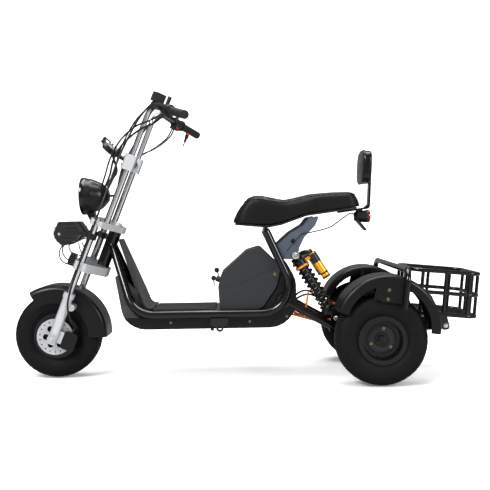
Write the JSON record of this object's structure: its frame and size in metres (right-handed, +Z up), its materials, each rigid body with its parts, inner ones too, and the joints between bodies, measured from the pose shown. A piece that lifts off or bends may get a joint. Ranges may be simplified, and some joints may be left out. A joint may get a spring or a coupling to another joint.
{
  "type": "three-wheeled electric scooter",
  "caption": "Electric three-wheeled scooter with a padded saddle, backrest, flat floor, fat tyres and a wire basket behind.",
  "frame": {"origin": "on the ground, under the middle of the scooter's length and width", "axes": "+X runs back along the scooter, so the front wheel is at -X; +Y is its right side; +Z is up"},
  "size_m": [1.9123, 0.7792, 1.1518],
  "materials": {
    "frame_black": "gloss",
    "cover_grey": "satin",
    "mat_rubber": "matte",
    "battery_case": "satin",
    "seat_leather": "satin",
    "plate_steel": "satin",
    "motor_alloy": "satin",
    "shock_black": "gloss",
    "reservoir_gold": "gloss",
    "guard_black": "satin",
    "cable_orange": "satin",
    "cable_black": "satin",
    "fork_alloy": "satin",
    "bright_chrome": "polished",
    "lens_glass": "clear",
    "control_black": "satin",
    "tyre_rubber": "matte",
    "rim_paint": "satin",
    "disc_steel": "brushed"
  },
  "bodies": {
    "chassis": {"main_frame": "frame_black", "belly_pan": "cover_grey", "leg_shield": "cover_grey", "deck_mat": "mat_rubber", "battery_box": "cover_grey", "battery_pack": "battery_case", "seat_pan": "cover_grey", "seat_cushion": "seat_leather", "seat_brackets": "plate_steel", "backrest_bar": "frame_black", "backrest_pad": "seat_leather", "tail_lamp": "control_black", "rear_subframe": "frame_black", "drive_motor": "motor_alloy", "shock_dampers": "shock_black", "shock_springs": "shock_black", "shock_reservoirs": "reservoir_gold", "mudguard_left": "guard_black", "mudguard_right": "guard_black", "rack_hoop": "frame_black", "basket": "frame_black", "stand_bracket": "frame_black", "motor_cable": "cable_orange"},
    "lid": {"battery_lid": "cover_grey"},
    "steering": {"fork_legs": "fork_alloy", "fork_tubes": "bright_chrome", "lower_clamp": "fork_alloy", "upper_clamp": "fork_alloy", "bar_risers": "bright_chrome", "bar_clamp": "fork_alloy", "handlebar": "bright_chrome", "grips": "mat_rubber", "control_left": "control_black", "control_right": "control_black", "headlamp": "frame_black", "headlamp_lens": "lens_glass", "driving_lamps": "control_black", "gauge": "control_black", "horn": "control_black", "front_mudguard": "guard_black", "brake_caliper": "shock_black", "brake_hose": "cable_black", "wire_loom": "cable_black", "front_axle": "disc_steel"},
    "front_wheel": {"front_tyre": "tyre_rubber", "front_rim": "rim_paint", "brake_disc": "disc_steel"},
    "rear_wheel_left": {"rear_tyre_left": "tyre_rubber", "rear_rim_left": "rim_paint"},
    "rear_wheel_right": {"rear_tyre_right": "tyre_rubber", "rear_rim_right": "rim_paint"}
  },
  "joints": [
    {"name": "steer", "type": "hinge", "parent": "chassis", "child": "steering", "pos_m": [-0.56229, 0, 0.53305], "axis": [0.3746, 0, 0.9272], "range_deg": [-35, 35]},
    {"name": "front_spin", "type": "hinge", "parent": "steering", "child": "front_wheel", "pos_m": [-0.778, 0, 0.178], "axis": [0, 1, 0], "continuous": true},
    {"name": "rear_left_spin", "type": "hinge", "parent": "chassis", "child": "rear_wheel_left", "pos_m": [0.522, -0.265, 0.178], "axis": [0, 1, 0], "continuous": true},
    {"name": "rear_right_spin", "type": "hinge", "parent": "chassis", "child": "rear_wheel_right", "pos_m": [0.522, 0.265, 0.178], "axis": [0, 1, 0], "continuous": true},
    {"name": "lid_hinge", "type": "hinge", "parent": "chassis", "child": "lid", "pos_m": [0.148, 0, 0.4563], "axis": [0, 1, 0], "range_deg": [0, 25]}
  ]
}
